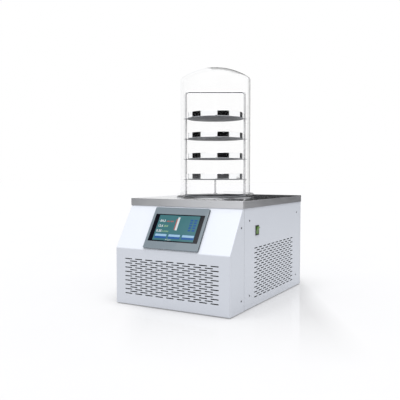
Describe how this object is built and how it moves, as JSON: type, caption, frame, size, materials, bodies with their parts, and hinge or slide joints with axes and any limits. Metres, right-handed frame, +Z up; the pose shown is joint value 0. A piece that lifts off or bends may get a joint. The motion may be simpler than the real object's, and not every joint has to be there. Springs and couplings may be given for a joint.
{
  "type": "benchtop freeze dryer",
  "caption": "Benchtop freeze dryer: sheet-steel case with slanted touch-screen front, cold trap in a steel deck, and a clear bell jar over a rack of round trays.",
  "frame": {"origin": "under the middle of the whole object, on the bench", "axes": "+Z up, -Y is the front with the screen, +X is the side with the switch"},
  "size_m": [0.4596, 0.6909, 0.8577],
  "materials": {
    "white_paint": "satin powder coat, fine texture",
    "stainless": "polished",
    "galvanised": "zinc coated",
    "black_steel": "semi-gloss black",
    "rubber": "matt",
    "acrylic": "clear, polished",
    "foam": "matt foam",
    "copper": "drawn copper",
    "aluminium": "mill finish",
    "grey_plastic": "fine texture",
    "black_plastic": "satin",
    "screen_glass": "gloss, display behind it",
    "green_plastic": "translucent, gloss",
    "board": "satin",
    "brass": "nickel-free brass",
    "silicone": "translucent hose"
  },
  "bodies": {
    "cabinet": {"base_pan": "galvanised", "foot_front_left": "rubber", "foot_front_right": "rubber", "foot_rear_left": "rubber", "foot_rear_right": "rubber", "front_cover": "white_paint", "side_panel_right": "white_paint", "side_panel_left": "white_paint", "rear_panel": "white_paint", "top_plate": "stainless", "cold_trap": "stainless", "seal_flange": "stainless", "evaporator_coil": "copper", "foam_jacket": "foam", "bell_seal": "rubber", "bell_jar": "acrylic", "bell_flange": "acrylic", "rack_base": "stainless", "rack_frame": "stainless", "centre_rod": "stainless", "shelf_1": "stainless", "shelf_2": "stainless", "shelf_3": "stainless", "shelf_4": "stainless", "tray_1": "stainless", "tray_2": "stainless", "tray_3": "stainless", "tray_4": "stainless", "screen_bezel": "grey_plastic", "screen_glass": "screen_glass", "screen_housing": "black_plastic", "switch_frame": "black_plastic", "condenser": "aluminium", "fan_shroud": "black_steel", "fan_motor": "black_steel", "compressor": "black_steel", "compressor_mount_front_left": "rubber", "compressor_mount_front_right": "rubber", "compressor_mount_rear_left": "rubber", "compressor_mount_rear_right": "rubber", "suction_line": "copper", "discharge_line": "copper", "liquid_line": "copper", "filter_drier": "copper", "capillary_line": "copper", "vacuum_pipe": "stainless", "vacuum_sensor": "aluminium", "air_hose": "silicone", "air_valve": "brass", "drain_pipe": "silicone", "drain_valve": "brass", "power_inlet": "black_plastic", "pump_outlet": "black_plastic", "fuse_holder": "black_plastic", "control_board": "board", "power_supply": "galvanised"},
    "power_rocker": {"switch_rocker": "green_plastic"},
    "condenser_fan": {"fan": "black_plastic"},
    "air_handle": {"air_lever": "black_plastic"},
    "drain_handle": {"drain_lever": "black_plastic"}
  },
  "joints": [
    {"name": "power_rocker_hinge", "type": "hinge", "parent": "cabinet", "child": "power_rocker", "pos_m": [0.2235, -0.136, 0.2645], "axis": [0, 1, 0], "range_deg": [-24, 0]},
    {"name": "condenser_fan_spin", "type": "hinge", "parent": "cabinet", "child": "condenser_fan", "pos_m": [0, -0.2647, 0.0888], "axis": [0, 1, 0], "continuous": true},
    {"name": "air_handle_hinge", "type": "hinge", "parent": "cabinet", "child": "air_handle", "pos_m": [-0.05, 0.3163, 0.3358], "axis": [0, 0, 1], "range_deg": [-90, 0]},
    {"name": "drain_handle_hinge", "type": "hinge", "parent": "cabinet", "child": "drain_handle", "pos_m": [-0.11, 0.3163, 0.0708], "axis": [0, 0, 1], "range_deg": [-90, 0]}
  ]
}
